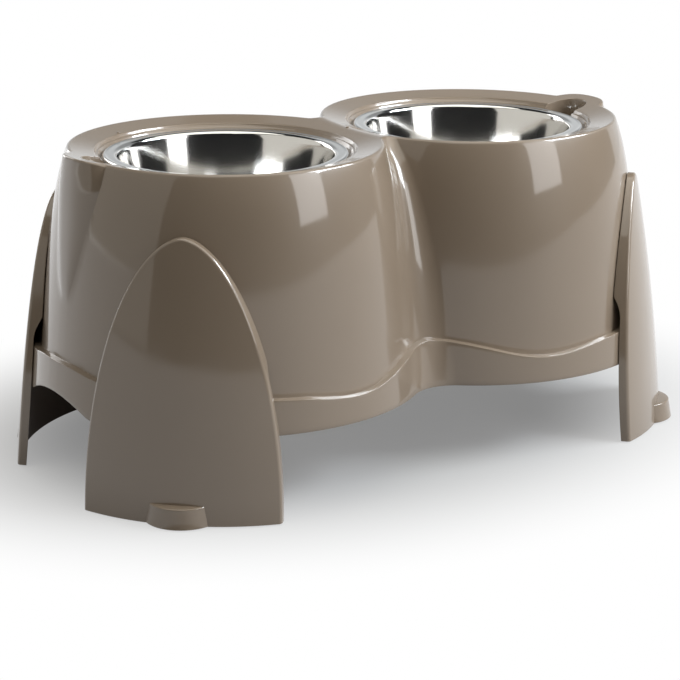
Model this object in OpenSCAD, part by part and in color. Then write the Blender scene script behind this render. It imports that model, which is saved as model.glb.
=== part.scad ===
// Double pet bowl on a raised stand.
// One hollow moulded body makes two round towers joined at a narrow waist.
// Four shield shaped legs hook onto its flanks, each with a foot nub and a rubber pad.
// Two round steel bowls hang by their rolled rims in the tower wells and lift straight out.
// X runs along the stand, Y runs to its back and Z is up.
// The origin lies on the floor under the middle of the stand.

/* [Stand] */
// Height of the tower rims above the floor
stand_h = 266.8; // [256:0.2:280]
// Distance between the two tower axes
tower_pitch = 246; // [242:1:250]
// Radius of a tower at its rim
rim_r = 129; // [127:1:132]
// Share by which the flank widens on its way down
flank_lean = 0.1; // [0.07:0.01:0.13]
// Extra widening of the flank just below the rim
flank_swell = 10.4; // [8:0.2:12]
// Height over which most of that widening happens
flank_swell_drop = 33; // [26:1:40]
// Thickness of the moulded wall
wall = 3; // [2.4:0.2:3.6]
// Slope of the top face, down towards the bowl
deck_slope = 0.2126; // [0.16:0.01:0.24]
// Radius on the rim edge
rim_round = 2.4; // [1.6:0.2:3]
// Radius of the hollow waist at the rim
waist_round_top = 8; // [7:1:14]
// Radius of the hollow waist at the hem
waist_round_low = 44; // [36:1:50]

/* [Skirt] */
// Height of the lower edge of the body above the floor
hem_z = 67.8; // [60:0.2:74]
// How far the skirt stands out from the flank
skirt_out = 6; // [4:0.5:7]
// Highest point of the wavy skirt edge
ridge_crest = 107; // [102:1:112]
// Half width of the arch in each end of the skirt
arch_half_w = 52; // [40:1:56]
// Rise of the arch in each end of the skirt
arch_rise = 14.3; // [8:0.5:16]

/* [Well] */
// Radius of the opening in the top face
well_r = 107.3; // [106.5:0.2:109]
// Radius of the step inside the well
well_step_r = 104.4; // [103.6:0.2:105]
// Depth of the step inside the well below the rim
well_step_drop = 7.4; // [6.8:0.2:8.4]
// Depth of the ledge that carries the bowl below the rim
seat_drop = 12.4; // [12:0.2:15]
// Radius at which the ledge begins
seat_r = 102.6; // [102.2:0.2:103.2]
// Radius of the hole that the bowl hangs through
hole_r = 92; // [91.4:0.2:94]
// Height of the collar below the ledge
collar_h = 8; // [4:1:12]

/* [Finger Pocket] */
// Radius of the round finger pocket
pocket_r = 20.5; // [17:0.5:21]
// Distance from the tower axis to the far end of the pocket
pocket_reach = 129.5; // [127:0.5:130]
// Depth of the pocket floor below the rim
pocket_drop = 30; // [24:1:40]
// Radius of the bulge around the pocket at the rim
bulge_r = 41; // [38:1:43]
// Distance from the tower axis to the middle of the bulge
bulge_reach = 100; // [98:1:102]
// Growth of the bulge radius on the way down
bulge_swell = 5.5; // [4:0.5:6]
// Height of the bulge
bulge_h = 112; // [100:2:118]
// Distance from the tower axis to the middle of the narrow lower end of the bulge
bulge_low_reach = 115; // [114:0.5:116]
// Radius of the narrow lower end of the bulge at the rim
bulge_low_r = 27; // [25:0.5:28]

/* [Legs] */
// Height of a leg
leg_h = 221; // [210:1:226]
// Half width of a leg at the floor
leg_half_w = 79.5; // [70:0.5:82]
// Roundness of the leg outline
leg_fullness = 0.56; // [0.5:0.02:0.64]
// Thickness of the leg shell
leg_plate_t = 3.4; // [2.8:0.2:4]
// Largest depth of the rim that runs round the back of a leg, up to the body
leg_rim_t = 11.5; // [8:0.5:12]
// Width of that rim
leg_rim_w = 3.2; // [2.4:0.2:5]
// Outer radius of a leg at the floor, from the tower axis
leg_foot_r = 179.4; // [179:0.2:183]
// Inward lean of a leg over the height of the stand
leg_lean = 20; // [18:0.5:21]
// Inward curve of a leg over the height of the stand
leg_curl = 20.5; // [18:0.5:21.5]
// Angle of a leg from the long axis
leg_angle = 46.3; // [44:0.1:48]
// Width of the hooks on the back of a leg
hook_w = 26; // [20:1:30]
// Thickness of the hook tongue
hook_t = 5; // [4:0.5:6]
// Height of the upturned hook tip
hook_lip = 8; // [6:0.5:9]
// Downward travel that frees a leg
leg_travel = 18; // [14:1:20]
// Distance of the upper hook below the tip of the leg
hook_drop = 26; // [24:1:32]
// Distance between the two hooks of a leg
hook_pitch = 54; // [50:1:58]

/* [Feet] */
// Height of the foot nub
nub_h = 16; // [13:1:20]
// Radius of the foot nub at the floor
nub_r = 30.4; // [28:0.2:33]
// Radius of the foot nub at its top
nub_top_r = 27.4; // [25:0.2:30]
// How far the nub stands out of the leg at the floor
nub_out = 11; // [10:0.5:14]
// Thickness of the rubber pad
pad_h = 4; // [3:0.5:6]
// How far the pad stands out below the leg
pad_proud = 1; // [0.5:0.25:2]

/* [Bowls] */
// Radius of the rolled bowl rim
bowl_r = 101.2; // [100.6:0.2:101.6]
// Height of the rolled rim
bowl_bead_h = 4.5; // [4:0.1:5]
// Width of the sloping bowl flange
bowl_flange_w = 10.8; // [10.4:0.2:11.6]
// Drop of the flange on its way inwards
bowl_flange_drop = 1.6; // [1:0.2:2]
// Depth of a bowl below its flange
bowl_depth = 60; // [50:1:70]
// Thickness of the steel sheet
sheet = 0.9; // [0.7:0.1:1.2]

/* [Hidden] */
$fn = 96;

// Fits
loose_gap = 0.8;
slide_gap = 0.5;
snug_gap = 0.15;

// Stand
tower_x = tower_pitch / 2;
deck_t = wall;
cut_over = 6;
form_bottom = hem_z - cut_over;
form_top = stand_h + cut_over;
flank_drop = stand_h - form_bottom;
flank_steps = [1, 0.8, 0.64, 0.5, 0.38, 0.28, 0.2, 0.14, 0.09, 0.05, 0.02];
waist_steps = [1, 0.82, 0.66, 0.52, 0.4, 0.29, 0.2, 0.12, 0.06, 0.02, 0];
round_steps = [0, 0.33, 0.66, 1];
waist_overlap = 1.2;
waist_half_w = 26;
waist_chord = 1;
waist_chord_low = 8;
waist_wall = 5;
waist_hollow_half_w = 22;
skirt_hollow_z = 82;
stand_reach = tower_x + leg_foot_r + cut_over * 4;
seat_z = stand_h - seat_drop;
well_step_z = stand_h - well_step_drop;

// Share of the half length and share of the crest height along the wavy skirt edge
ridge_half_l = 288;
ridge_shares = [
  [0, 1], [0.042, 0.986], [0.083, 0.97], [0.128, 0.944], [0.18, 0.907],
  [0.233, 0.864], [0.292, 0.836], [0.358, 0.832], [0.427, 0.85], [0.51, 0.881],
  [0.59, 0.892], [0.694, 0.908], [0.833, 0.93], [0.92, 0.94], [0.955, 0.95],
  [0.969, 0.967], [0.977, 0.984], [0.984, 0.997], [1.02, 1.001], [1.15, 1.002]
];
ridge_end_share = ridge_shares[len(ridge_shares) - 1][0];
arch_r = (arch_half_w * arch_half_w + arch_rise * arch_rise) / (2 * arch_rise);
arch_from_share = 0.9;
arch_from_x = tower_x + rim_r * arch_from_share;

// Pocket and bulge
pocket_x = pocket_reach - pocket_r;
pocket_floor = stand_h - pocket_drop;
// Share of the bulge height and share of its growth
bulge_shares = [
  [-0.05, 0], [0.14, 0.4], [0.29, 0.69], [0.41, 0.85], [0.58, 0.98],
  [0.72, 1], [0.83, 0.91], [0.92, 0.78], [1, 0.4]
];

// Share of the bulge height and share of the growth of its narrow lower end
bulge_low_shares = [
  [-0.05, 0], [0.16, 0.25], [0.32, 0.38], [0.44, 0.52], [0.56, 0.66],
  [0.67, 0.79], [0.8, 0.91], [0.9, 0.97], [1, 0.95]
];
bulge_low_swell = 8;
bulge_end_share = 1.02;

// Legs
leg_steps = [0, 0.12, 0.24, 0.36, 0.47, 0.57, 0.66, 0.74, 0.81, 0.87, 0.92, 0.96, 0.985];
leg_rise_steps = [0, 0.15, 0.3, 0.4, 0.485, 0.515, 0.545, 0.57, 0.66, 0.76, 0.84, 0.9, 0.95, 1, 1.05];
leg_front_steps = [-0.06, 0.1, 0.2, 0.3, 0.4, 0.5, 0.6, 0.7, 0.8, 0.9, 1.06];
leg_body_gap = 0.6;
leg_over = 12;
hook_reach = 2.6;
hook_lip_t = 3;
hook_root = 1.5;
hook_top_z = leg_h - hook_drop;
hook_low_z = hook_top_z - hook_pitch;
pad_inset = 3;
nub_x = leg_foot_r + nub_out - nub_r;

// Bowls
// Share of the mouth radius and share of the depth, from the flange to the middle
bowl_shares = [
  [1, 0], [0.985, 0.02], [0.975, 0.06], [0.965, 0.2], [0.95, 0.4], [0.93, 0.58],
  [0.905, 0.72], [0.87, 0.83], [0.82, 0.91], [0.75, 0.965], [0.66, 0.992], [0.56, 1], [0, 1]
];
bowl_mouth_r = bowl_r - bowl_flange_w;
bead_steps = [0, 0.125, 0.25, 0.375, 0.5];
bead_foot = 0.8;
bead_start = 60;

// Outer radius of a tower at a drop below the rim
function flank_r(drop) = rim_r + flank_lean * drop
  + flank_swell * (1 - exp(-drop / flank_swell_drop));

// Middle of the rounding of the waist, from the long axis
waist_mid = waist_front(1) + waist_round_low - waist_overlap;

// Height of the top face at a distance from a tower axis
function deck_z(r) = stand_h + deck_slope * (r - rim_r);

// Radius of the hollow waist at a share of the drop
function waist_f(s) = waist_round_top + (waist_round_low - waist_round_top) * s;

// Distance of the waist from the long axis at a share of the drop
function waist_front(s) = sqrt(pow(flank_r(s * flank_drop) + waist_f(s), 2) - tower_x * tower_x)
  - waist_f(s);

// One point of a rounded edge between two points and their corner
function soft(a, c, b, t) = a * (1 - t) * (1 - t) + c * 2 * t * (1 - t) + b * t * t;

// Outer radius of a leg at a height
function leg_r(z) = leg_foot_r - leg_lean * z / stand_h - leg_curl * pow(z / stand_h, 2);

// Half width of a leg at a height, some way inside its edge
function leg_inset_side(z, inset) = (leg_half_w - inset)
  * pow(1 - pow(z / (leg_h - inset), 2), leg_fullness);

// Share of the skirt that a leg keeps clear of, also while it slides off
function skirt_share(z) = z <= ridge_crest ? 1
  : max(0, 1 - pow((z - ridge_crest) / leg_travel, 2));

// Inner radius of a leg of some thickness at a height, clear of the body
function leg_back_r(z, thick) = max(
  leg_r(z) - thick,
  flank_r(stand_h - z) + skirt_out * skirt_share(z) + leg_body_gap
);

// Both towers
module at_towers() {
  translate([-tower_x, 0, 0])
    rotate(180)
      children();
  translate([tower_x, 0, 0])
    children();
}

// Solid tower form, grown or shrunk sideways
module tower_form(out) {
  inner_edge = [rim_r - rim_round, deck_z(rim_r - rim_round) - snug_gap];
  corner = [rim_r, deck_z(rim_r)];
  outer_edge = [flank_r(rim_round), stand_h - rim_round];
  rotate_extrude()
    polygon(concat(
      [[0, form_bottom]],
      [for (s = flank_steps) [flank_r(s * flank_drop) + out, stand_h - s * flank_drop]],
      [for (t = round_steps)
        soft(outer_edge, corner, inner_edge, t) + [out, 0]],
      [[rim_r - rim_round + out, form_top], [0, form_top]]
    ));
}

// Rounds the front of the fill between the towers
module waist_rounding(out) {
  translate([0, -waist_mid, 0])
    rotate_extrude()
      polygon(concat(
        [[0, form_bottom - cut_over], [waist_mid - waist_front(1) - out, form_bottom - cut_over]],
        [for (s = waist_steps) [waist_mid - waist_front(s) - out, stand_h - s * flank_drop]],
        [[waist_mid - waist_front(0) - out, form_top + cut_over], [0, form_top + cut_over]]
      ));
}

// Fill between the towers, hollow in plan at its front and back
module waist_form(out) {
  side = concat(
    [for (s = waist_steps)
      [waist_front(s) + waist_chord + waist_chord_low * s + out, stand_h - s * flank_drop]],
    [[waist_front(0) + waist_chord + out, form_top]]
  );
  last = len(side) - 1;
  difference() {
    translate([-waist_half_w, 0, 0])
      rotate([90, 0, 90])
        linear_extrude(waist_half_w * 2)
          polygon(concat(
            [for (i = [0 : last]) side[i]],
            [for (i = [last : -1 : 0]) [-side[i][0], side[i][1]]]
          ));
    waist_rounding(out);
    rotate(180)
      waist_rounding(out);
  }
}

// Towers and waist together
module stand_form(out) {
  at_towers()
    tower_form(out);
  waist_form(out);
}

// Everything above a sloping top face
module above_deck(drop) {
  at_towers()
    rotate_extrude()
      polygon([
        [0, deck_z(0) - drop],
        [stand_reach, deck_z(stand_reach) - drop],
        [stand_reach, deck_z(stand_reach) + cut_over],
        [0, deck_z(stand_reach) + cut_over]
      ]);
}

// One upright rounded form of the bulge
module bulge_form(reach, r, swell, shares) {
  translate([reach, 0, 0])
    rotate_extrude()
      polygon(concat(
        [[0, stand_h + cut_over]],
        [[0, stand_h - bulge_h * bulge_end_share]],
        [for (i = [len(shares) - 1 : -1 : 0])
          [r + swell * shares[i][1], stand_h - bulge_h * shares[i][0]]]
      ));
}

// Bulge around the finger pocket, narrow at its lower end
module bulge() {
  bulge_form(bulge_reach, bulge_r, bulge_swell, bulge_shares);
  bulge_form(bulge_low_reach, bulge_low_r, bulge_low_swell, bulge_low_shares);
}

// Everything below the wavy skirt edge
module below_ridge() {
  translate([0, stand_reach, 0])
    rotate([90, 0, 0])
      linear_extrude(stand_reach * 2)
        polygon(concat(
          [for (i = [len(ridge_shares) - 1 : -1 : 1])
            [-ridge_half_l * ridge_shares[i][0], ridge_crest * ridge_shares[i][1]]],
          [for (p = ridge_shares) [ridge_half_l * p[0], ridge_crest * p[1]]],
          [[ridge_half_l * ridge_end_share, 0], [-ridge_half_l * ridge_end_share, 0]]
        ));
}

// Solid outside of the body
module body_outside() {
  stand_form(0);
  at_towers()
    bulge();
  intersection() {
    stand_form(skirt_out);
    below_ridge();
  }
}

// Hollow inside of the waist
module waist_hollow() {
  side = [for (s = waist_steps) [waist_front(s) - waist_wall, stand_h - s * flank_drop]];
  last = len(side) - 1;
  translate([-waist_hollow_half_w, 0, 0])
    rotate([90, 0, 90])
      linear_extrude(waist_hollow_half_w * 2)
        polygon(concat(
          [for (i = [0 : last]) side[i]],
          [for (i = [last : -1 : 0]) [-side[i][0], side[i][1]]]
        ));
}

// Open inside of the body
module body_inside() {
  difference() {
    union() {
      at_towers()
        tower_form(-wall);
      waist_hollow();
    }
    above_deck(deck_t);
    at_towers() {
      translate([0, 0, seat_z - wall])
        cylinder(r = well_r + wall, h = stand_h - seat_z + cut_over);
      translate([0, 0, seat_z - wall - collar_h])
        cylinder(r = hole_r + wall, h = collar_h + wall);
      translate([pocket_x, 0, pocket_floor - wall])
        cylinder(r = pocket_r + wall, h = pocket_drop + cut_over);
    }
  }
  intersection() {
    stand_form(skirt_out - wall);
    translate([-stand_reach, -stand_reach, 0])
      cube([stand_reach * 2, stand_reach * 2, skirt_hollow_z]);
  }
}

// Stepped well that the bowl sits in
module well_cut() {
  rotate_extrude()
    polygon([
      [0, pocket_floor - wall - cut_over],
      [hole_r, pocket_floor - wall - cut_over],
      [hole_r, seat_z],
      [seat_r, seat_z],
      [well_step_r, well_step_z],
      [well_r - wall / 2, well_step_z],
      [well_r, stand_h + cut_over],
      [0, stand_h + cut_over]
    ]);
}

// Arch in one end of the skirt
module end_arch() {
  translate([arch_from_x - tower_x, 0, hem_z + arch_rise - arch_r])
    rotate([0, 90, 0])
      cylinder(r = arch_r, h = stand_reach);
}

// Places the four legs in the order front right, back right, back left, front left
module at_leg(side, back) {
  translate([side * tower_x, 0, 0])
    rotate(side > 0 ? back * leg_angle : 180 - back * leg_angle)
      children();
}

// Slots in the wall for the hooks of one leg
module leg_slots() {
  for (z = [hook_top_z, hook_low_z])
    translate([rim_r - wall, -hook_w / 2 - loose_gap, z - hook_t - leg_travel - slide_gap])
      cube([leg_foot_r - rim_r, hook_w + loose_gap * 2, hook_t + leg_travel + slide_gap]);
}

// Hollow moulded body of the stand
module stand_body() {
  color([0.52, 0.47, 0.42])
    difference() {
      body_outside();
      above_deck(0);
      body_inside();
      translate([-stand_reach, -stand_reach, 0])
        cube([stand_reach * 2, stand_reach * 2, hem_z]);
      at_towers() {
        well_cut();
        translate([pocket_x, 0, pocket_floor])
          cylinder(r = pocket_r, h = pocket_drop + cut_over);
        end_arch();
      }
      for (side = [-1, 1])
        for (back = [-1, 1])
          at_leg(side, back)
            leg_slots();
    }
}

// Space behind a leg of some thickness, as a solid turned around the tower axis
module leg_behind(thick) {
  rotate_extrude()
    polygon(concat(
      [[0, -leg_over], [leg_r(-leg_over) - thick, -leg_over]],
      [for (s = leg_rise_steps) [leg_back_r(s * leg_h, thick), s * leg_h]],
      [[0, leg_rise_steps[len(leg_rise_steps) - 1] * leg_h]]
    ));
}

// Upright block with the outline of a leg, some way inside its edge
module leg_block(inset) {
  low = inset > 0 ? -leg_over : pad_proud;
  tip = leg_h - inset;
  rotate([90, 0, 90])
    linear_extrude(leg_foot_r + cut_over)
      polygon(concat(
        [[leg_half_w - inset, low]],
        [for (s = leg_steps) [leg_inset_side(s * tip, inset), max(s * tip, pad_proud)]],
        [[0, tip]],
        [for (i = [len(leg_steps) - 1 : -1 : 0])
          [-leg_inset_side(leg_steps[i] * tip, inset), max(leg_steps[i] * tip, pad_proud)]],
        [[inset - leg_half_w, low]]
      ));
}

// Outside of a leg, as a solid turned around the tower axis
module leg_front() {
  rotate_extrude()
    polygon(concat(
      [[0, -leg_over]],
      [for (s = leg_front_steps) [leg_r(s * leg_h), s < 0 ? -leg_over : s * leg_h]],
      [[0, leg_front_steps[len(leg_front_steps) - 1] * leg_h]]
    ));
}

// Rubber pad outline
module pad_shape(grow, h) {
  difference() {
    translate([nub_x, 0, 0])
      cylinder(r = nub_r - pad_inset + grow, h = h);
    translate([0, 0, -pad_inset])
      cylinder(r = leg_foot_r - leg_plate_t + pad_inset - grow, h = h + pad_inset * 2);
  }
}

// Hook on the back of a leg, its tongue passes through the body wall
module leg_hook(z) {
  face_x = flank_r(stand_h - z - hook_lip) - wall - hook_reach;
  translate([face_x - hook_lip_t, -hook_w / 2, z - hook_t])
    cube([leg_r(z) - leg_plate_t + hook_root - face_x + hook_lip_t, hook_w, hook_t]);
  translate([face_x - hook_lip_t, -hook_w / 2, z - hook_t])
    cube([hook_lip_t, hook_w, hook_t + hook_lip]);
}

// Shield shaped leg with its foot nub and two hooks
module leg() {
  color([0.5, 0.45, 0.4]) {
    difference() {
      union() {
        intersection() {
          leg_front();
          leg_block(0);
        }
        translate([nub_x, 0, pad_proud])
          cylinder(r1 = nub_r, r2 = nub_top_r, h = nub_h);
      }
      leg_behind(leg_rim_t);
      intersection() {
        leg_behind(leg_plate_t);
        leg_block(leg_rim_w);
      }
      translate([0, 0, -cut_over])
        pad_shape(snug_gap, pad_h + cut_over);
    }
    leg_hook(hook_top_z);
    leg_hook(hook_low_z);
  }
}

// Rubber foot pad
module foot_pad() {
  color([0.12, 0.12, 0.12])
    pad_shape(0, pad_h);
}

// Round steel bowl with a rolled rim
module bowl() {
  bead_r = bowl_bead_h / 2;
  bead_x = bowl_r - bead_r;
  top_z = seat_z + bowl_bead_h;
  flange_z = top_z - bowl_flange_drop;
  color([0.75, 0.75, 0.74])
    rotate_extrude()
      polygon(concat(
        [for (p = bowl_shares)
          [bowl_mouth_r * p[0], flange_z - bowl_depth * p[1]]],
        [[0, flange_z - bowl_depth - sheet]],
        [for (i = [len(bowl_shares) - 2 : -1 : 1])
          [bowl_mouth_r * bowl_shares[i][0] + sheet,
            flange_z - bowl_depth * bowl_shares[i][1] - sheet]],
        [[bowl_mouth_r + sheet, flange_z - sheet]],
        [[bead_x - bead_r, top_z - sheet * 2]],
        [[bead_x - bead_foot, seat_z], [bead_x + bead_foot, seat_z]],
        [for (s = bead_steps)
          [bead_x + bead_r * cos(360 * s - bead_start),
            seat_z + bead_r + bead_r * sin(360 * s - bead_start)]]
      ));
}

module leg_front_left() {
  at_leg(-1, -1)
    leg();
}

module leg_front_right() {
  at_leg(1, -1)
    leg();
}

module leg_back_left() {
  at_leg(-1, 1)
    leg();
}

module leg_back_right() {
  at_leg(1, 1)
    leg();
}

module foot_pad_front_left() {
  at_leg(-1, -1)
    foot_pad();
}

module foot_pad_front_right() {
  at_leg(1, -1)
    foot_pad();
}

module foot_pad_back_left() {
  at_leg(-1, 1)
    foot_pad();
}

module foot_pad_back_right() {
  at_leg(1, 1)
    foot_pad();
}

module bowl_left() {
  translate([-tower_x, 0, 0])
    bowl();
}

module bowl_right() {
  translate([tower_x, 0, 0])
    bowl();
}

stand_body();
leg_front_left();
leg_front_right();
leg_back_left();
leg_back_right();
foot_pad_front_left();
foot_pad_front_right();
foot_pad_back_left();
foot_pad_back_right();
bowl_left();
bowl_right();
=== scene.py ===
import math
import bpy
import bmesh
from mathutils import Matrix, Vector


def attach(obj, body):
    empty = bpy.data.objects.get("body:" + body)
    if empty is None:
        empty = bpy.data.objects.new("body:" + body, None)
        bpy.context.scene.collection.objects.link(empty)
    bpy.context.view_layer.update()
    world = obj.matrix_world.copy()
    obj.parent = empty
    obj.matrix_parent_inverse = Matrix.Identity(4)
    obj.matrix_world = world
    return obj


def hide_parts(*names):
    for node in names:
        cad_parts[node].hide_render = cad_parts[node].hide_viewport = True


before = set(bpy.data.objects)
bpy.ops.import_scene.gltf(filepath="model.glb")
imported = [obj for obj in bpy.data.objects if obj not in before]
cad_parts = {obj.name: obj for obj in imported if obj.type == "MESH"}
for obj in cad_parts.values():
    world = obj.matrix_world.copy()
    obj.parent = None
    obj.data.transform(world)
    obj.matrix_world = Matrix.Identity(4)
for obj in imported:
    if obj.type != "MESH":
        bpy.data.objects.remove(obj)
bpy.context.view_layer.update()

MM = 0.001

# Sizes in mm
TX = 123.0          # tower axis from the middle
H = 266.8           # rim height
RIM = 129.0
LEAN = 0.10
SWELL = 10.4
SWELL_DROP = 33.0
DECK = 0.2126       # slope of the top face
WALL = 3.0
DECK_T = WALL + 0.2     # thickness of the top face, measured straight down
HEM = 67.8          # lower edge of the skirt
SKIRT = 6.0         # how far the skirt stands out of the flank
SKIRT_MID = 75.0    # height at which the hem's place is taken
RIDGE_MID = 95.0    # height at which the ridge's place is taken
WELL = 107.3        # radius of the well at the top face
HOLE = 92.0         # radius of the hole that the bowl hangs in
SEAT = 254.4        # height of the ledge that carries the bowl
STEP = SEAT + 5.0   # height of the step round that ledge
LEDGE_EASE = 0.45   # rounding along the top of the skirt
WELL_EASE = 0.7     # rounding along the edge of the well
POCKET_FROM = 105.0     # inner end of a finger pocket
POCKET_REACH = 24.5
POCKET_HALF = 20.5
POCKET_FLOOR = 236.8
HOOK_TOPS = (141.0, 195.0)      # heights of the leg hooks
SLOT_H = 23.5       # height of a hook slot
LEG_A = 46.3        # angle of a leg from the long axis
SLOT_A = 5.3        # half angle of a hook slot
ARCH_W = 52.0
ARCH_RISE = 14.3
FILLET = 2.3


def table(x, pairs):
    """Smooth value from a given table of pairs."""
    if x <= pairs[0][0]:
        return pairs[0][1]
    if x >= pairs[-1][0]:
        return pairs[-1][1]
    for i in range(len(pairs) - 1):
        x0, y0 = pairs[i]
        x1, y1 = pairs[i + 1]
        if x <= x1:
            ym = pairs[i - 1] if i else (2 * x0 - x1, 2 * y0 - y1)
            yp = pairs[i + 2] if i + 2 < len(pairs) else (2 * x1 - x0, 2 * y1 - y0)
            m0 = (y1 - ym[1]) / (x1 - ym[0])
            m1 = (yp[1] - y0) / (yp[0] - x0)
            h = x1 - x0
            t = (x - x0) / h
            return ((2 * t**3 - 3 * t**2 + 1) * y0 + (t**3 - 2 * t**2 + t) * h * m0
                    + (-2 * t**3 + 3 * t**2) * y1 + (t**3 - t**2) * h * m1)
    return pairs[-1][1]


def flank(z):
    d = max(H - z, 0.0)
    return RIM + LEAN * d + SWELL * (1 - math.exp(-d / SWELL_DROP))


def waist_f(z):
    return 8.0 + 36.0 * max(H - z, 0.0) / 205.0


def waist_c(z):
    return math.sqrt((flank(z) + waist_f(z))**2 - TX * TX)


BULGE_TIP = [(155, 0.0), (163, 0.8), (173, 1.7), (182, 2.3), (195, 3.1), (207, 3.8),
             (220, 4.9), (233, 6.5), (250, 9.0), (262, 11.6), (267, 13.0)]
BULGE_W = [(155, 4.0), (163, 8.5), (173, 12.5), (182, 15.5), (195, 19.5), (207, 23.0),
           (220, 26.5), (233, 29.2), (250, 32.0), (262, 31.5), (267, 30.8)]


def bulge(z):
    """How far the bulge stands out of the flank and its half angle, in degrees."""
    p = max(table(z, BULGE_TIP), 0.0) if z < 267 else 13.0
    w = table(z, BULGE_W)
    return p, math.degrees(math.asin(w / flank(z)))


RIDGE = [(0, 107), (12, 105.6), (24, 103.6), (37, 100.6), (52, 96.4), (67, 92.4), (84, 89.6),
         (103, 89.2), (123, 91.2), (147, 94.2), (170, 95.8), (200, 97.4), (240, 99.6),
         (265, 100.7), (275, 102.0), (279, 103.6), (282, 105.6), (284, 107.0), (290, 107.6)]


def ridge(x):
    return table(abs(x), RIDGE)


ARCH_R = (ARCH_W**2 + ARCH_RISE**2) / (2 * ARCH_RISE)


def hem(x, y):
    if abs(x) < TX + RIM * 0.9 or abs(y) > ARCH_W + 14:
        return HEM
    a = HEM + ARCH_RISE - ARCH_R + math.sqrt(ARCH_R**2 - y * y)
    k = 1.2
    return k * math.log(math.exp((a - HEM) / k) + 1) + HEM


def deck_z(x, y):
    """Top face: the lower of two cones, blended along the bridge."""
    a = H + DECK * (math.hypot(x - TX, y) - RIM)
    b = H + DECK * (math.hypot(x + TX, y) - RIM)
    k = 2.2
    h = min(max(0.5 + 0.5 * (b - a) / k, 0.0), 1.0)
    return b * (1 - h) + a * h - k * h * (1 - h)


# Columns of the body's plan
def pocket_outline():
    pts = []
    for t in (1.0, 0.995, 0.98, 0.95, 0.9, 0.83, 0.74, 0.64, 0.52, 0.4, 0.28, 0.14, 0.0128):
        x = POCKET_FROM + POCKET_REACH * t
        y = POCKET_HALF * (1 - t**2.2)**0.5 if t < 1 else 0.0
        pts.append((math.degrees(math.atan2(y, x)), math.hypot(x, y)))
    return pts


POCKET = pocket_outline()
TOP_ANGLE = bulge(266.0)[1]
FIXED = ([20.0 + 3.0 * i for i in range(7)] + [LEG_A - SLOT_A + SLOT_A * i / 4 for i in range(9)]
         + [LEG_A + SLOT_A + 2.75 * i for i in range(1, 23)])


def columns():
    cols = [("b", a / TOP_ANGLE, r) for a, r in POCKET]
    last = cols[-1][1]
    cols.append(("b", last, None))
    for i in range(1, 6):
        cols.append(("b", last + (1 - last) * i / 5, None))
    for i in range(1, 5):
        cols.append(("t1", i / 5, None))
    for a in FIXED:
        cols.append(("fix", a, None))
    for i in range(1, 8):
        cols.append(("t3", i / 7, None))
    for i in range(1, 15):
        cols.append(("w", i / 14, None))
    return cols


COLS = columns()


def plan(col, z, out=0.0):
    """Point and outward direction on the body's outline at a height, right tower, front half."""
    kind, s, _ = col
    r = flank(z)
    p, tb = bulge(z)
    tb = max(tb, 2.5)
    c = waist_c(z)
    tw = 180 - math.degrees(math.atan2(c, TX))
    if kind == "w":
        f = waist_f(z)
        a = math.asin(TX / (r + f)) * (1 - s)
        nx, ny = -math.sin(a), -math.cos(a)
        cx, cy = 0.0, -c
        # the outward direction points at the middle of the hollow
        return (cx + (f - out) * math.sin(a), cy + (f - out) * math.cos(a)), (nx, ny)
    if kind == "b":
        th = tb * s
    elif kind == "t1":
        th = tb + (20 - tb) * s
    elif kind == "fix":
        th = s
    else:
        th = FIXED[-1] + (tw - FIXED[-1]) * s
    ct, st = math.cos(math.radians(th)), math.sin(math.radians(th))
    rr, slope = r, 0.0
    if kind == "b" and p > 0:
        u = th / tb
        rr = r + p * (1 - u**3)
        slope = -3 * p * u * u / math.radians(tb)
    # outline direction in polar form
    nr, nt = rr, -slope
    n = math.hypot(nr, nt)
    nr, nt = nr / n, nt / n
    nx = ct * nr - st * nt
    ny = -(st * nr + ct * nt)
    x, y = TX + rr * ct, -rr * st
    return (x + nx * out, y + ny * out), (nx, ny)


def lerp(a, b, t):
    return a + (b - a) * t


D_LEVELS = [114.0, 117.5, 121.0, 125.0, 129.0, 133.0, 137.0, 141.0, 145.5, 150.0, 154.0, 158.0,
            162.0, 165.0, 168.0, 171.5, 174.5, 178.0, 182.0, 186.0, 190.5, 195.0, 199.0, 203.0,
            207.0, 211.0, 215.0, 219.0, 223.0, 227.0, 231.0, 235.0, 239.0, 243.0, 247.0, 251.0]


def soft3(a, c, b, t):
    return tuple(a[i] * (1 - t)**2 + c[i] * 2 * t * (1 - t) + b[i] * t * t for i in range(len(a)))


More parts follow.
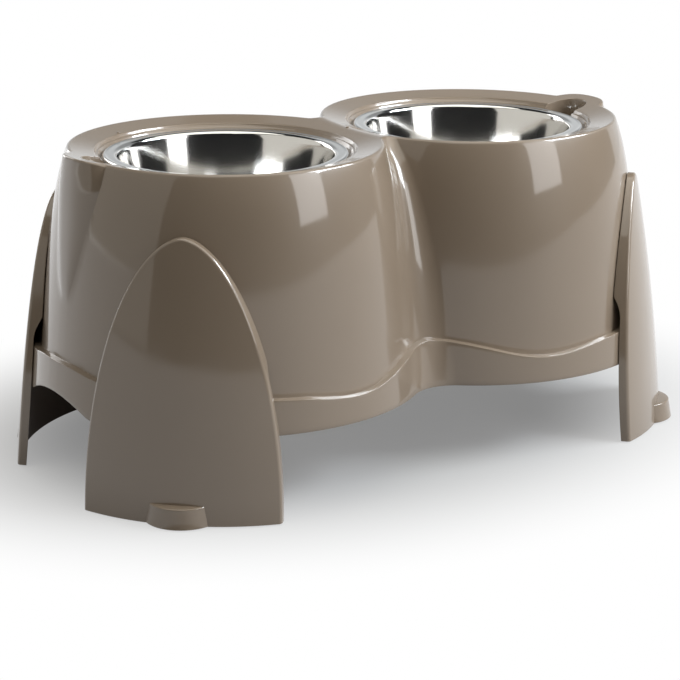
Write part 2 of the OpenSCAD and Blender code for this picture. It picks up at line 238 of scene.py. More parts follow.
def outer_rows(col):
    """Points up the outside of the body for one column, ending on the top face."""
    rows = []
    (x0, y0), _ = plan(col, SKIRT_MID, SKIRT)
    zh = hem(x0, y0)
    (x1, _), _ = plan(col, RIDGE_MID, SKIRT)
    zr = ridge(x1)

    def at(z, out):
        (x, y), _ = plan(col, z, out)
        rows.append((x, y, z))

    at(zh, SKIRT - 0.9)
    at(zh + 0.25, SKIRT - 0.25)
    at(zh + 0.9, SKIRT)
    for i in range(1, 9):
        at(lerp(zh + 0.9, zr - LEDGE_EASE, i / 8), SKIRT)
    for i in range(1, 6):
        a = math.pi / 2 * i / 5
        at(zr - LEDGE_EASE * (1 - math.sin(a)), SKIRT - LEDGE_EASE * (1 - math.cos(a)))
    at(zr + 0.02, 0.5)
    at(zr + 0.12, 0.12)
    at(zr + 0.5, 0.0)
    for i in range(1, 4):
        at(lerp(zr + 0.5, D_LEVELS[0], i / 4), 0.0)
    mark = len(rows)
    for z in D_LEVELS:
        at(z, 0.0)
    (xt, yt), n = plan(col, 266.5)
    zt = deck_z(xt, yt)
    (xt, yt), n = plan(col, zt)
    zt = deck_z(xt, yt)
    s = zt - FILLET
    for i in range(1, 5):
        at(lerp(D_LEVELS[-1], s, i / 4), 0.0)
    start = rows[-1]
    ex, ey = xt - n[0] * FILLET, yt - n[1] * FILLET
    end = (ex, ey, deck_z(ex, ey))
    for i in range(1, 7):
        rows.append(soft3(start, (xt, yt, zt), end, i / 6))
    return rows, mark


LIP_Z = SEAT - 11.0     # lower end of the lip round the hole
WELL_LIST = [(WELL - 1.0, STEP + 0.5), (WELL - 1.5, STEP), (WELL - 2.7, STEP - 0.1), (WELL - 3.1, STEP - 0.5),
             (WELL - 4.5, SEAT + 0.5), (WELL - 5.0, SEAT), (HOLE + 0.5, SEAT), (HOLE, SEAT - 0.5),
             (HOLE, LIP_Z), (HOLE + WALL, LIP_Z), (HOLE + WALL, SEAT - WALL), (WELL + WALL, SEAT - WALL)]


def well_rows(edge, kind, rp):
    """From the top face point 'edge' inwards and down to the underside, for one column."""
    dx, dy = edge[0] - TX, edge[1]
    re = math.hypot(dx, dy)
    ux, uy = dx / re, dy / re
    rim = rp if kind == "p" else WELL

    def pt(r, z):
        return (TX + ux * r, uy * r, z)

    rows = []
    r1 = rim + WELL_EASE
    steps = 12
    for i in range(1, steps + 1):
        r = lerp(re, r1, i / steps)
        x, y = TX + ux * r, uy * r
        rows.append((x, y, deck_z(x, y)))
    a = rows[-1]
    x, y = TX + ux * rim, uy * rim
    c = (x, y, deck_z(x, y))
    b = (TX + ux * (rim - 0.1), uy * (rim - 0.1), c[2] - WELL_EASE)
    for i in range(1, 5):
        rows.append(soft3(a, c, b, i / 4))
    if kind == "p":
        fl, under = POCKET_FLOOR, POCKET_FLOOR - WALL
        ps = [(rp - 0.2, fl + 13.2), (rp - 0.4, fl + 3.2), (rp - 0.8, fl + 1.2), (rp - 2, fl),
              (lerp(rp, HOLE, 0.4), fl), (lerp(rp, HOLE, 0.7), fl), (HOLE + 1, fl), (HOLE, fl - 0.6),
              (HOLE, under + 0.2), (HOLE + 2, under), (lerp(HOLE, rp, 0.6), under), (rp + WALL, under)]
    else:
        ps = WELL_LIST
    for r, z in ps:
        rows.append(pt(r, z))
    r = ps[-1][0]
    x, y = TX + ux * r, uy * r
    rows.append((x, y, deck_z(x, y) - DECK_T))
    return rows


def inner_rows(col, last):
    """Underside of the top face and the inside of the wall down to the hem."""
    rows = []
    (xt, yt), _ = plan(col, 262.0, -WALL)
    zt = deck_z(xt, yt) - DECK_T
    (xt, yt), _ = plan(col, zt, -WALL)
    zt = deck_z(xt, yt) - DECK_T
    for i in range(1, 5):
        x, y = lerp(last[0], xt, i / 4), lerp(last[1], yt, i / 4)
        rows.append((x, y, deck_z(x, y) - DECK_T))

    def at(z, out):
        (x, y), _ = plan(col, z, out)
        rows.append((x, y, z))

    at(lerp(zt, D_LEVELS[-1], 0.5), -WALL)
    mark = len(rows)
    for z in reversed(D_LEVELS):
        at(z, -WALL)
    at(100.0, -WALL)
    at(84.5, -WALL)
    at(82.0, SKIRT - WALL)
    (x0, y0), _ = plan(col, SKIRT_MID, SKIRT)
    zh = hem(x0, y0)
    at(max(lerp(82.0, zh, 0.5), zh + 0.02), SKIRT - WALL)
    at(zh, SKIRT - WALL)
    return rows, mark


GATES = [(1.1, 7.7), (-170.0, 99.6)]
GATE_SIDES = 16


def gate_mark(bm, x, y):
    """Low round moulding mark on the top face."""
    z = deck_z(x, y)
    rings = []
    for r, h in ((1.7, -0.1), (1.65, 0.5), (1.35, 0.8), (0.7, 0.9)):
        ring = []
        for k in range(GATE_SIDES):
            a = 2 * math.pi * k / GATE_SIDES
            ring.append(bm.verts.new(((x + r * math.cos(a)) * MM, (y + r * math.sin(a)) * MM, (z + h) * MM)))
        rings.append(ring)
    for a, b in zip(rings, rings[1:]):
        for k in range(GATE_SIDES):
            k2 = (k + 1) % GATE_SIDES
            bm.faces.new([a[k], a[k2], b[k2], b[k]])
    bm.faces.new(rings[-1])


def build_body():
    bm = bmesh.new()
    loops, marks = [], []
    for col in COLS:
        outer, m0 = outer_rows(col)
        kind = "p" if col[2] is not None else "n"
        mid = well_rows(outer[-1], kind, col[2])
        inner, m1 = inner_rows(col, mid[-1])
        loops.append(outer + mid + inner)
        marks.append((m0, len(outer) + len(mid) + m1, len(outer)))
    n_rows = len(loops[0])
    start_out, start_in, n_out = marks[0]
    inside = start_in - 5   # first row of the underside
    n_d = len(D_LEVELS)
    # slots for the leg hooks in two height bands
    slot_cols = [k for k, c in enumerate(COLS) if c[0] == "fix" and abs(c[1] - LEG_A) < SLOT_A + 0.05]
    c_lo, c_hi = slot_cols[0], slot_cols[-1]
    bands = [(D_LEVELS.index(z - SLOT_H), D_LEVELS.index(z)) for z in HOOK_TOPS]

    def skip(k, j):
        """Faces left out for a slot: k is a column pair and j a row pair."""
        if not c_lo <= k < c_hi:
            return False
        for lo, hi in bands:
            if start_out + lo <= j < start_out + hi:
                return True
            if start_in + (n_d - 1 - hi) <= j < start_in + (n_d - 1 - lo):
                return True
        return False

    for sx, sy in ((1, 1), (1, -1), (-1, 1), (-1, -1)):
        grid = []
        for k in range(len(COLS)):
            grid.append([bm.verts.new((x * sx * MM, y * sy * MM, z * MM)) for x, y, z in loops[k]])
        flip = sx * sy < 0
        for k in range(len(COLS) - 1):
            for j in range(n_rows):
                j2 = (j + 1) % n_rows
                if skip(k, j):
                    continue
                f = [grid[k][j], grid[k][j2], grid[k + 1][j2], grid[k + 1][j]]
                if flip:
                    f.reverse()
                # underside and inside faces take the darker matt copy, which is painted shade
                bm.faces.new(f).material_index = int(inside <= j < n_rows - 1)
        for lo, hi in bands:
            ring_out, ring_in = [], []
            o_lo, o_hi = start_out + lo, start_out + hi
            path = ([(k, o_lo) for k in range(c_lo, c_hi)] + [(c_hi, j) for j in range(o_lo, o_hi)]
                    + [(k, o_hi) for k in range(c_hi, c_lo, -1)] + [(c_lo, j) for j in range(o_hi, o_lo, -1)])
            for k, j in path:
                ring_out.append(grid[k][j])
                ring_in.append(grid[k][start_in + (n_d - 1) - (j - start_out)])
            for i in range(len(path)):
                i2 = (i + 1) % len(path)
                f = [ring_out[i], ring_out[i2], ring_in[i2], ring_in[i]]
                if flip:
                    f.reverse()
                bm.faces.new(f)
    # bridge between the towers, one strip for each side of the middle line
    mid = len(COLS) - 1
    ye = loops[mid][n_out - 1][1]
    (_, yb), _ = plan(COLS[mid], 262.0, -WALL)
    seam = 24
    for sx in (1, -1):
        strip = []
        for i in range(seam + 1):
            t = i / seam
            y = lerp(ye, -ye, t)
            yu = lerp(yb, -yb, t)
            rows = [(0.0, y, deck_z(0, y))] + well_rows((0.0, y), "n", None)
            last = rows[-1]
            for q in range(1, 5):
                x, yy = lerp(last[0], 0.0, q / 4), lerp(last[1], yu, q / 4)
                rows.append((x, yy, deck_z(x, yy) - DECK_T))
            strip.append([bm.verts.new((x * sx * MM, yy * MM, z * MM)) for x, yy, z in rows])
        for i in range(seam):
            for j in range(len(strip[0]) - 1):
                f = [strip[i][j], strip[i][j + 1], strip[i + 1][j + 1], strip[i + 1][j]]
                if sx < 0:
                    f.reverse()
                bm.faces.new(f)
    bmesh.ops.remove_doubles(bm, verts=bm.verts, dist=0.00004)
    bmesh.ops.dissolve_degenerate(bm, edges=bm.edges, dist=0.00001)
    bmesh.ops.recalc_face_normals(bm, faces=bm.faces)
    for x, y in GATES:
        gate_mark(bm, x, y)
    return bm


def finish_mesh(bm, name, angle=28.0):
    for f in bm.faces:
        f.smooth = True
    limit = math.radians(angle)
    for e in bm.edges:
        if len(e.link_faces) == 2:
            e.smooth = e.calc_face_angle(0.0) < limit
        else:
            e.smooth = False
    me = bpy.data.meshes.new(name)
    bm.to_mesh(me)
    bm.free()
    ob = bpy.data.objects.new(name, me)
    bpy.context.scene.collection.objects.link(ob)
    return ob


# Legs
LEG_H = 221.0
LEG_W = 79.5
LEG_FULL = 0.56
PLATE_T = 3.4       # shell thickness
LEG_RIM_T = 11.5    # largest depth of the rim round the back
LEG_RIM_W = 3.2     # width of that rim
LEG_HOLLOW = 36     # first point of a leg's section that lies behind the rim
FOOT_R = 179.4
PAD = 1.0
CREST = 107.0
TRAVEL = 18.0
NUB_R0 = 30.4       # radius of the foot nub at the floor
NUB_R1 = 27.4       # and at its top
NUB_H = 16.0
NUB_OUT = 11.0      # how far it stands out of the leg
NUB_EASE = 1.1
HOOK_W = 13.0       # half width of a hook
HOOK_T = 5.0
HOOK_IN = 2.6       # from the inside of the wall to the upright part of a hook


def leg_r(z):
    s = z / H
    return FOOT_R - 20.0 * s - 20.5 * s * s


def leg_back(z, thick):
    """Inner radius of a leg, clear of the flank and the skirt."""
    share = 1.0 if z <= CREST else max(0.0, 1 - ((z - CREST) / TRAVEL)**2)
    return max(leg_r(z) - thick, flank(z) + SKIRT * share + 0.6)


def leg_side(z):
    s = max(1 - (z / LEG_H)**2, 0.0)
    return LEG_W * s**LEG_FULL


def leg_outline():
    """Right half of the outline from the floor to the tip, with outward directions."""
    zs = [PAD + (LEG_H - PAD) * (1 - (1 - i / 90)**1.7) for i in range(91)]
    pts = [(leg_side(z), z) for z in zs]
    pts[-1] = (0.0, LEG_H)
    out = []
    for i, p in enumerate(pts):
        a = pts[max(i - 1, 0)]
        b = pts[min(i + 1, len(pts) - 1)]
        dx, dz = b[0] - a[0], b[1] - a[1]
        if i == len(pts) - 1:
            n = (0.0, 1.0)
        else:
            l = math.hypot(dx, dz)
            n = (dz / l, -dx / l)
        out.append((p, n))
    return out


def leg_row(point, normal):
    """Half section of the leg shell at one outline point, as (sideways, height, radius)."""
    (t, z), (nt, nz) = point, normal
    eo, ei = 2.0, 0.6
    row = []

    def put(inset, radius, share=1.0):
        tt, zz = max(t - nt * inset, 0.0) * share, max(z - nz * inset, PAD)
        row.append((tt, zz, radius(zz)))

    def rim(zz):
        return leg_back(zz, LEG_RIM_T)

    def plate(zz):
        return leg_back(zz, PLATE_T)

    for i in range(21):
        put(eo + 0.4, leg_r, i / 20)
    put(eo, leg_r)
    for i in range(1, 9):
        a = math.pi / 2 * i / 8
        put(eo * (1 - math.sin(a)), lambda zz: leg_r(zz) - eo * (1 - math.cos(a)))
    put(0.0, lambda zz: leg_r(zz) - eo - 0.3)
    put(0.0, lambda zz: rim(zz) + ei + 0.3)
    put(0.0, lambda zz: rim(zz) + ei)
    for i in range(1, 4):
        a = math.pi / 2 * i / 3
        put(ei * (1 - math.cos(a)), lambda zz: rim(zz) + ei * (1 - math.sin(a)))
    put(LEG_RIM_W - 0.3, rim)
    put(LEG_RIM_W, lambda zz: rim(zz) + 0.3)
    put(LEG_RIM_W, lambda zz: max(plate(zz) - 0.3, rim(zz) + 0.4))
    put(LEG_RIM_W + 0.4, lambda zz: max(plate(zz), rim(zz) + 0.4))
    for i in range(1, 13):
        put(LEG_RIM_W + 0.4, lambda zz: max(plate(zz), rim(zz) + 0.4), 1 - i / 12)
    return row


def build_leg(bm, at):
    rows = [leg_row(p, n) for p, n in leg_outline()]
    foot = []
    for side in (1, -1):
        g = []
        for row in rows:
            g.append([bm.verts.new(at((math.sqrt(max(r * r - t * t, 0.0)), t * side, z))) for t, z, r in row])
        for i in range(len(rows) - 1):
            for j in range(len(rows[0]) - 1):
                f = [g[i][j], g[i + 1][j], g[i + 1][j + 1], g[i][j + 1]]
                if side < 0:
                    f.reverse()
                # faces behind the rim take the darker matt copy, which is painted shade
                bm.faces.new(f).material_index = int(j >= LEG_HOLLOW)
        foot.append(g[0])
    bmesh.ops.remove_doubles(bm, verts=[v for v in bm.verts if abs(v.co.z - LEG_H * MM) < 0.02], dist=0.00002)
    # close the foot with one flat ring of faces for each half
    for side, line in ((1, foot[0]), (-1, foot[1])):
        line = [v for v in line if v.is_valid]
        f = bm.faces.new(line)
        bmesh.ops.triangulate(bm, faces=[f])


def build_nub(bm, at):
    """Foot nub: part of a cone with an eased top edge that grows out of the leg."""
    r0, r1, h, e = NUB_R0, NUB_R1, NUB_H, NUB_EASE
    cx = FOOT_R + NUB_OUT - r0
    prof = [(27.6, 3.0), (27.6, 0.0), (r0 - 0.4, 0.0), (r0, 0.4)]
    prof += [(lerp(r0, r1, t), h * t) for t in (0.15, 0.35, 0.55, 0.75, (h - e) / h)]
    top_r = lerp(r0, r1, (h - e) / h)
    for i in range(1, 7):
        a = math.pi / 2 * i / 6
        prof.append((top_r - e * (1 - math.cos(a)), h - e + e * math.sin(a)))
    prof.append((top_r - e - 4, h))
    prof.append((top_r - e - 12, h))
    lines = []
    span = 62.0
    steps = 44
    for r, z in prof:
        line = []
        for i in range(steps + 1):
            a = math.radians(-span + 2 * span * i / steps)
            x, y = cx + r * math.cos(a), r * math.sin(a)
            zz = z + PAD
            lim = math.sqrt((leg_r(zz) - 1.4)**2 - y * y)
            x = max(x, lim)
            line.append(bm.verts.new(at((x, y, zz))))
        lines.append(line)
    for i in range(len(prof) - 1):
        for j in range(steps):
            bm.faces.new([lines[i][j], lines[i][j + 1], lines[i + 1][j + 1], lines[i + 1][j]])


def rounded_bar(bm, at, x0, x1, y0, y1, z0, z1, e=0.6):
    """Bar with eased edges."""
    d = bmesh.ops.create_cube(bm, size=1.0)
    for v in d["verts"]:
        v.co = Vector((lerp(x0, x1, v.co.x + 0.5), lerp(y0, y1, v.co.y + 0.5), lerp(z0, z1, v.co.z + 0.5)))
    edges = list({ed for v in d["verts"] for ed in v.link_edges})
    r = bmesh.ops.bevel(bm, geom=edges, offset=e, segments=3, affect="EDGES", profile=0.5)
    vs = {v for f in r["faces"] for v in f.verts}
    vs |= {v for v in d["verts"] if v.is_valid}
    for v in vs:
        v.co = Vector(at(tuple(v.co)))


def merge(bm, part):
    """Move all of a part into the first mesh."""
    me = bpy.data.meshes.new("part")
    part.to_mesh(me)
    part.free()
    bm.from_mesh(me)
    bpy.data.meshes.remove(me)


def make_leg(name, sx, sy):
    a = math.radians(LEG_A)
    dx, dy = sx * math.cos(a), sy * math.sin(a)

    def at(p):
        x, t, z = p
        return ((sx * TX + dx * x - dy * t) * MM, (dy * x + dx * t) * MM, z * MM)

    bm = bmesh.new()
    build_leg(bm, at)
    bmesh.ops.remove_doubles(bm, verts=bm.verts, dist=0.00003)
    bmesh.ops.dissolve_degenerate(bm, edges=bm.edges, dist=0.00001)
    bmesh.ops.recalc_face_normals(bm, faces=bm.faces)
    nub = bmesh.new()
    build_nub(nub, at)
    bmesh.ops.remove_doubles(nub, verts=nub.verts, dist=0.00001)
    bmesh.ops.recalc_face_normals(nub, faces=nub.faces)
    # turn the nub outwards if needed
    c = Vector(at((FOOT_R, 0, 8)))
    nub.faces.ensure_lookup_table()
    score = sum((f.calc_center_median() - c).dot(f.normal) * f.calc_area() for f in nub.faces)
    if score < 0:
        bmesh.ops.reverse_faces(nub, faces=nub.faces)
    merge(bm, nub)
    for z in reversed(HOOK_TOPS):
        tip = z + 8.0
        face = flank(tip) - WALL - HOOK_IN
        bar = bmesh.new()
        plate = leg_back(z - HOOK_T / 2, PLATE_T)
        rounded_bar(bar, at, face - 3.0, plate + 1.5, -HOOK_W, HOOK_W, z - HOOK_T, z)
        rounded_bar(bar, at, face - 3.0, face, -HOOK_W, HOOK_W, z - HOOK_T + 0.1, tip)
        bmesh.ops.recalc_face_normals(bar, faces=bar.faces)
        merge(bm, bar)
    return finish_mesh(bm, name, 32.0)


# Bowls
def revolve(profile, cx, name, steps=192, angle=35.0):
    bm = bmesh.new()
    rings = []
    for r, z in profile:
        if r < 1e-6:
            rings.append([bm.verts.new((cx * MM, 0, z * MM))])
        else:
            rings.append([bm.verts.new(((cx + r * math.cos(2 * math.pi * i / steps)) * MM,
                                        r * math.sin(2 * math.pi * i / steps) * MM, z * MM))
                          for i in range(steps)])
    for a, b in zip(rings, rings[1:]):
        for i in range(steps):
            i2 = (i + 1) % steps
            if len(a) == 1:
                bm.faces.new([a[0], b[i2], b[i]])
            elif len(b) == 1:
                bm.faces.new([a[i], a[i2], b[0]])
            else:
                bm.faces.new([a[i], a[i2], b[i2], b[i]])
    bmesh.ops.remove_doubles(bm, verts=bm.verts, dist=0.00001)
    bmesh.ops.recalc_face_normals(bm, faces=bm.faces)
    return finish_mesh(bm, name, angle)


BOWL_DEPTH = 61.1
MOUTH = 90.4        # radius of the bowl's opening
BOWL_RISE = 4.5     # from the ledge to the top of the rolled rim
BOWL_T = 0.9        # thickness of the sheet
FLAT_R = 56.0       # radius of the flat bottom
BEAD_AT = 98.95     # radius of the rolled rim's middle
BEAD_R = 2.2


def bowl_profile():
    """Inside of the bowl from the middle to the flange, the rolled rim, then the outside back."""
    depth, mouth = BOWL_DEPTH, MOUTH
    top = SEAT + BOWL_RISE
    fz = top - 0.5
    floor = fz - depth
    inside = [(0.0, floor + 0.6)]
    for r in (15.0, 30.0, 42.0, 50.0):
        inside.append((r, floor + 0.6 * (1 - (r / FLAT_R)**2)))
    inside.append((FLAT_R, floor))
    # corner as a quarter ellipse
    corner_h, corner_w = 20.0, 25.0
    for i in range(1, 17):
        a = math.pi / 2 * i / 16
        inside.append((FLAT_R + corner_w * math.sin(a), floor + corner_h * (1 - math.cos(a))))
    r_c, z_c = inside[-1]
    for i in range(1, 13):
        t = i / 12
        inside.append((r_c + (mouth - 1.7 - r_c) * t, lerp(z_c, fz - 2.4, t)))
    w = inside[-1]
    for i in range(1, 8):
        inside.append(soft3(w, (mouth - 0.9, fz), (mouth + 1.6, fz + 0.2), i / 7))
    # flat flange out to the rolled rim
    for i in range(1, 5):
        inside.append((lerp(mouth + 1.6, 97.7, i / 4), lerp(fz + 0.2, top - 0.32, i / 4)))
    bead = []
    for i in range(0, 22):
        a = math.radians(112 - 15 * i)
        bead.append((BEAD_AT + BEAD_R * math.cos(a), top - 2.25 + BEAD_R * math.sin(a)))
    pts = inside + bead
    # outside wall, one sheet thickness away
    back = []
    for i in range(len(inside) - 2, 0, -1):
        a, b = inside[i - 1], inside[i + 1]
        dx, dz = b[0] - a[0], b[1] - a[1]
        l = math.hypot(dx, dz)
        back.append((inside[i][0] + dz / l * BOWL_T, inside[i][1] - dx / l * BOWL_T))
    pts += [p for p in back if p[0] < 97.0]
    pts.append((0.0, inside[0][1] - BOWL_T))
    return pts


body = finish_mesh(build_body(), "body_shell", 30.0)
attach(body, "stand")
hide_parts("stand_body")

LEGS = {"front_left": (-1, -1), "front_right": (1, -1), "back_left": (-1, 1), "back_right": (1, 1)}
leg_objects = []
for key, (sx, sy) in LEGS.items():
    ob = make_leg("leg_shield_" + key, sx, sy)
    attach(ob, "leg_" + key)
    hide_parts("leg_" + key)
    leg_objects.append(ob)

bowl_objects = []
for key, s in (("left", -1), ("right", 1)):
    ob = revolve(bowl_profile(), s * TX, "steel_bowl_" + key)
    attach(ob, "bowl_" + key)
    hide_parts("bowl_" + key)
    bowl_objects.append(ob)


# Materials
def new_material(name):
    m = bpy.data.materials.new(name)
    m.use_nodes = True
    nt = m.node_tree
    b = nt.nodes["Principled BSDF"]
    return m, nt, b


def node(nt, kind, **values):
    n = nt.nodes.new(kind)
    for k, v in values.items():
        if k in n.inputs:
            n.inputs[k].default_value = v
        else:
            setattr(n, k, v)
    return n


def ramp(nt, source, stops):
    r = nt.nodes.new("ShaderNodeValToRGB")
    e = r.color_ramp.elements
    e[0].position, e[0].color = stops[0][0], stops[0][1]
    e[1].position, e[1].color = stops[-1][0], stops[-1][1]
    for p, c in stops[1:-1]:
        x = e.new(p)
        x.color = c
    nt.links.new(source, r.inputs["Fac"])
    return r


def grey(v):
    return (v, v, v, 1)


def plastic(name, matt=False):
    """Taupe moulding with faint flow marks and fine handling scratches, matt on the inside, where a darker
    tone is painted shade.
    """
    m, nt, b = new_material(name)
    co = nt.nodes.new("ShaderNodeTexCoord")
    big = node(nt, "ShaderNodeTexNoise", Scale=9.0, Detail=3.0, Roughness=0.5)
    fine = node(nt, "ShaderNodeTexNoise", Scale=900.0, Detail=2.0, Roughness=0.6)
    wave = node(nt, "ShaderNodeTexNoise", Scale=22.0, Detail=1.0, Roughness=0.4)
    smear = node(nt, "ShaderNodeTexNoise", Scale=45.0, Detail=6.0, Roughness=0.7)
    for n in (big, fine, wave, smear):
        nt.links.new(co.outputs["Object"], n.inputs["Vector"])
    # the matt copy for insides and undersides is darker: painted shade
    tones = [(0.150, 0.113, 0.087, 1), (0.164, 0.124, 0.095, 1)] if matt else [
        (0.190, 0.146, 0.106, 1), (0.202, 0.156, 0.114, 1)]
    c = ramp(nt, big.outputs["Fac"], [(0.3, tones[0]), (0.7, tones[1])])
    nt.links.new(c.outputs["Color"], b.inputs["Base Color"])
    rough = (0.60, 0.70) if matt else (0.34, 0.42)
    r = ramp(nt, big.outputs["Fac"], [(0.3, grey(rough[0])), (0.7, grey(rough[1]))])
    nt.links.new(r.outputs["Color"], b.inputs["Roughness"])
    r = ramp(nt, smear.outputs["Fac"], [(0.3, grey(0.05)), (0.75, grey(0.10))])
    nt.links.new(r.outputs["Color"], b.inputs["Coat Roughness"])
    b.inputs["Coat Weight"].default_value = 0.0 if matt else 1.0
    b.inputs["Specular IOR Level"].default_value = 0.1 if matt else 0.3
    b.inputs["IOR"].default_value = 1.5
    bump = node(nt, "ShaderNodeBump", Strength=0.015, Distance=0.0003)
    nt.links.new(fine.outputs["Fac"], bump.inputs["Height"])
    bump2 = node(nt, "ShaderNodeBump", Strength=0.04, Distance=0.002)
    nt.links.new(wave.outputs["Fac"], bump2.inputs["Height"])
    nt.links.new(bump2.outputs["Normal"], bump.inputs["Normal"])
    nt.links.new(bump.outputs["Normal"], b.inputs["Normal"])
    return m


def steel():
    """Polished steel sheet with faint swirls from polishing and washing."""
    m, nt, b = new_material("polished_steel")
    co = nt.nodes.new("ShaderNodeTexCoord")
    big = node(nt, "ShaderNodeTexNoise", Scale=14.0, Detail=3.0, Roughness=0.5)
    nt.links.new(co.outputs["Object"], big.inputs["Vector"])
    fine = node(nt, "ShaderNodeTexNoise", Scale=700.0, Detail=2.0, Roughness=0.5)
    nt.links.new(co.outputs["Object"], fine.inputs["Vector"])
    c = ramp(nt, big.outputs["Fac"], [(0.3, (0.72, 0.715, 0.70, 1)), (0.7, (0.78, 0.775, 0.76, 1))])
    nt.links.new(c.outputs["Color"], b.inputs["Base Color"])
    b.inputs["Metallic"].default_value = 1.0
    r = ramp(nt, big.outputs["Fac"], [(0.3, grey(0.085)), (0.7, grey(0.125))])
    nt.links.new(r.outputs["Color"], b.inputs["Roughness"])
    bump = node(nt, "ShaderNodeBump", Strength=0.015, Distance=0.0003)
    nt.links.new(fine.outputs["Fac"], bump.inputs["Height"])
    nt.links.new(bump.outputs["Normal"], b.inputs["Normal"])
    return m


def rubber():
    m, nt, b = new_material("foot_rubber")
    co = nt.nodes.new("ShaderNodeTexCoord")
    n = node(nt, "ShaderNodeTexNoise", Scale=120.0, Detail=4.0, Roughness=0.6)
    nt.links.new(co.outputs["Object"], n.inputs["Vector"])
    c = ramp(nt, n.outputs["Fac"], [(0.3, (0.020, 0.019, 0.018, 1)), (0.7, (0.035, 0.033, 0.031, 1))])
    nt.links.new(c.outputs["Color"], b.inputs["Base Color"])
    r = ramp(nt, n.outputs["Fac"], [(0.3, grey(0.6)), (0.7, grey(0.8))])
    nt.links.new(r.outputs["Color"], b.inputs["Roughness"])
    bump = node(nt, "ShaderNodeBump", Strength=0.2, Distance=0.0004)
    nt.links.new(n.outputs["Fac"], bump.inputs["Height"])
    nt.links.new(bump.outputs["Normal"], b.inputs["Normal"])
    return m


PLASTIC, INSIDE = plastic("taupe_gloss_plastic"), plastic("taupe_matt_shaded_plastic", True)
STEEL, RUBBER = steel(), rubber()
body.data.materials.append(PLASTIC)
body.data.materials.append(INSIDE)
for ob in leg_objects:
    ob.data.materials.append(PLASTIC)
    ob.data.materials.append(INSIDE)
for ob in bowl_objects:
    ob.data.materials.append(STEEL)
for key in LEGS:
    pad = bpy.data.objects["foot_pad_" + key]
    pad.data.materials.clear()
    pad.data.materials.append(RUBBER)


# Stage
def shown(nt):
    """1 for the rays that see the background: camera, glossy and transmission rays."""
    lp = nt.nodes.new("ShaderNodeLightPath")
    a = node(nt, "ShaderNodeMath", operation="MAXIMUM")
    b = node(nt, "ShaderNodeMath", operation="MAXIMUM")
    nt.links.new(lp.outputs["Is Camera Ray"], a.inputs[0])
    nt.links.new(lp.outputs["Is Glossy Ray"], a.inputs[1])
    nt.links.new(a.outputs[0], b.inputs[0])
    nt.links.new(lp.outputs["Is Transmission Ray"], b.inputs[1])
    return b.outputs[0]


FLOOR_HALF = 6.0    # metres
FADE = (0.154, 0.373)   # where the painted shade round the stand starts to fade to white, and where it ends
# centre and stretch of the painted shade round the stand
FADE_AT = (0, 0.047, 0)
FADE_SCALE = (0.775, 1, 1)
WALL_AZ = (5, 112)  # the backdrop's ends, in degrees
WALL_R = 3.6
WALL_TOP = 2.6


def floor():
    """Floor in a painted grey shade round the stand that fades to plain white away from it; a faint painted
    glow lightens the stand's real shadow.
    """
    me = bpy.data.meshes.new("floor")
    s = FLOOR_HALF
    me.from_pydata([(-s, -s, 0), (s, -s, 0), (s, s, 0), (-s, s, 0)], [], [(0, 1, 2, 3)])
    ob = bpy.data.objects.new("floor", me)
    bpy.context.scene.collection.objects.link(ob)
    m, nt, b = new_material("floor_white")
    seen = shown(nt)
    # grey seen inside the painted shade; a darker grey for light that bounces off the floor
    tone = node(nt, "ShaderNodeMix", data_type="RGBA")
    tone.inputs["A"].default_value = grey(0.18)
    tone.inputs["B"].default_value = grey(0.31)
    nt.links.new(seen, tone.inputs["Factor"])
    nt.links.new(tone.outputs["Result"], b.inputs["Base Color"])
    b.inputs["Roughness"].default_value = 0.6
    b.inputs["Specular IOR Level"].default_value = 0.1
    co = nt.nodes.new("ShaderNodeTexCoord")
    shift = node(nt, "ShaderNodeVectorMath", operation="SUBTRACT")
    shift.inputs[1].default_value = FADE_AT
    nt.links.new(co.outputs["Object"], shift.inputs[0])
    long = node(nt, "ShaderNodeVectorMath", operation="MULTIPLY")
    long.inputs[1].default_value = FADE_SCALE
    nt.links.new(shift.outputs[0], long.inputs[0])
    far = node(nt, "ShaderNodeVectorMath", operation="LENGTH")
    nt.links.new(long.outputs[0], far.inputs[0])
    fade = node(nt, "ShaderNodeMapRange", interpolation_type="SMOOTHSTEP")
    fade.inputs["From Min"].default_value = FADE[0]
    fade.inputs["From Max"].default_value = FADE[1]
    # painted light: even next to the stand, this share of white glow lightens the real shadow
    fade.inputs["To Min"].default_value = 0.229
    nt.links.new(far.outputs["Value"], fade.inputs["Value"])
    both = node(nt, "ShaderNodeMath", operation="MULTIPLY")
    nt.links.new(fade.outputs["Result"], both.inputs[0])
    nt.links.new(seen, both.inputs[1])
    glow = node(nt, "ShaderNodeEmission", Color=(1, 1, 1, 1), Strength=1.0)
    mix = nt.nodes.new("ShaderNodeMixShader")
    nt.links.new(both.outputs[0], mix.inputs[0])
    nt.links.new(b.outputs[0], mix.inputs[1])
    nt.links.new(glow.outputs[0], mix.inputs[2])
    nt.links.new(mix.outputs[0], nt.nodes["Material Output"].inputs["Surface"])
    me.materials.append(m)


def polar(az, dist, z):
    return (dist * math.cos(math.radians(az)), dist * math.sin(math.radians(az)), z)


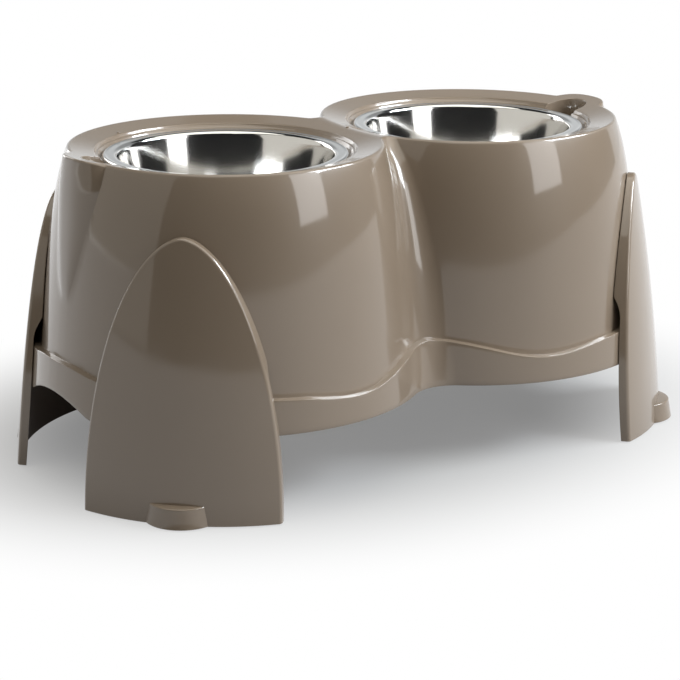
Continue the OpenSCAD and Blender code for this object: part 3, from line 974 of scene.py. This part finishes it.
def backdrop():
    """Curved white wall behind the stand."""
    me = bpy.data.meshes.new("backdrop")
    n = 24
    vs, fs = [], []
    for i in range(n + 1):
        a = lerp(WALL_AZ[0], WALL_AZ[1], i / n)
        vs += [polar(a, WALL_R, -0.01), polar(a, WALL_R, WALL_TOP)]
    for i in range(n):
        fs.append((2 * i, 2 * i + 2, 2 * i + 3, 2 * i + 1))
    me.from_pydata(vs, [], fs)
    ob = bpy.data.objects.new("backdrop", me)
    bpy.context.scene.collection.objects.link(ob)
    m, nt, b = new_material("backdrop_white")
    b.inputs["Base Color"].default_value = (0.8, 0.8, 0.8, 1)
    b.inputs["Roughness"].default_value = 0.9
    co = nt.nodes.new("ShaderNodeTexCoord")
    up = nt.nodes.new("ShaderNodeSeparateXYZ")
    nt.links.new(co.outputs["Object"], up.inputs[0])
    fade = node(nt, "ShaderNodeMapRange", interpolation_type="SMOOTHSTEP")
    for k, v in (("From Min", 0.55), ("From Max", 1.5), ("To Min", 0.85), ("To Max", 0.34)):
        fade.inputs[k].default_value = v
    nt.links.new(up.outputs["Z"], fade.inputs["Value"])
    glow = node(nt, "ShaderNodeEmission", Color=(0.95, 0.98, 1, 1))
    nt.links.new(fade.outputs["Result"], glow.inputs["Strength"])
    mix = nt.nodes.new("ShaderNodeMixShader")
    nt.links.new(shown(nt), mix.inputs[0])
    nt.links.new(b.outputs[0], mix.inputs[1])
    nt.links.new(glow.outputs[0], mix.inputs[2])
    nt.links.new(mix.outputs[0], nt.nodes["Material Output"].inputs["Surface"])
    me.materials.append(m)


def panel(name, az, dist, z, wide, high, bright, color=(1, 1, 1)):
    """Soft light panel that faces the stand. Its brightness is its radiance."""
    d = bpy.data.lights.new(name, "AREA")
    d.shape = "RECTANGLE"
    d.size, d.size_y = wide, high
    d.energy = bright * math.pi * wide * high
    d.color = color
    ob = bpy.data.objects.new(name, d)
    bpy.context.scene.collection.objects.link(ob)
    ob.location = polar(az, dist, z)
    v = Vector((0, 0, 0.15)) - ob.location
    ob.rotation_euler = v.to_track_quat("-Z", "Y").to_euler()
    return ob


floor()
backdrop()
world = bpy.data.worlds.new("studio")
bpy.context.scene.world = world
world.use_nodes = True
bg = world.node_tree.nodes["Background"]
bg.inputs["Color"].default_value = (1, 1, 1, 1)
bg.inputs["Strength"].default_value = 0.02

# Azimuth in degrees, distance and height in metres, width and height of the panel, radiance, colour
panel("key_right", 326, 1.75, 1.42, 1.4, 0.55, 28.0, (0.90, 0.95, 1.0))
panel("small_right", 294, 1.85, 0.86, 0.75, 0.9, 4.5)
panel("soft_back_left", 99, 2.5, 0.9, 1.05, 1.8, 2.9)
panel("soft_left", 157, 2.4, 1.15, 4.3, 2.3, 0.7, (1.0, 0.965, 0.89))
panel("soft_top", 267, 0.3, 1.9, 2.6, 2.2, 1.75, (1.0, 0.985, 0.91))


# Camera
FOCAL_PX = 2056.33      # focal length in pixels of the photo
PHOTO_PX = 680.0
SENSOR = 36.0
CAMERA_AT = (-0.9571, -1.4333, 0.5918)
YAW, PITCH, ROLL = 0.5836, -0.2897, 0.0045      # radians


def camera():
    """Camera at the photo's angle."""
    d = bpy.data.cameras.new("photo_camera")
    d.sensor_width = SENSOR
    d.sensor_fit = "HORIZONTAL"
    d.lens = FOCAL_PX / PHOTO_PX * SENSOR
    d.clip_start, d.clip_end = 0.05, 50.0
    ob = bpy.data.objects.new("photo_camera", d)
    bpy.context.scene.collection.objects.link(ob)
    fwd = Vector((math.sin(YAW) * math.cos(PITCH), math.cos(YAW) * math.cos(PITCH), math.sin(PITCH)))
    right = Vector((math.cos(YAW), -math.sin(YAW), 0))
    up = right.cross(fwd)
    r2 = right * math.cos(ROLL) + up * math.sin(ROLL)
    u2 = up * math.cos(ROLL) - right * math.sin(ROLL)
    m = Matrix((
        (r2.x, u2.x, -fwd.x, CAMERA_AT[0]),
        (r2.y, u2.y, -fwd.y, CAMERA_AT[1]),
        (r2.z, u2.z, -fwd.z, CAMERA_AT[2]),
        (0, 0, 0, 1)))
    ob.matrix_world = m
    bpy.context.scene.camera = ob


camera()
scene = bpy.context.scene
scene.view_settings.view_transform = "Standard"
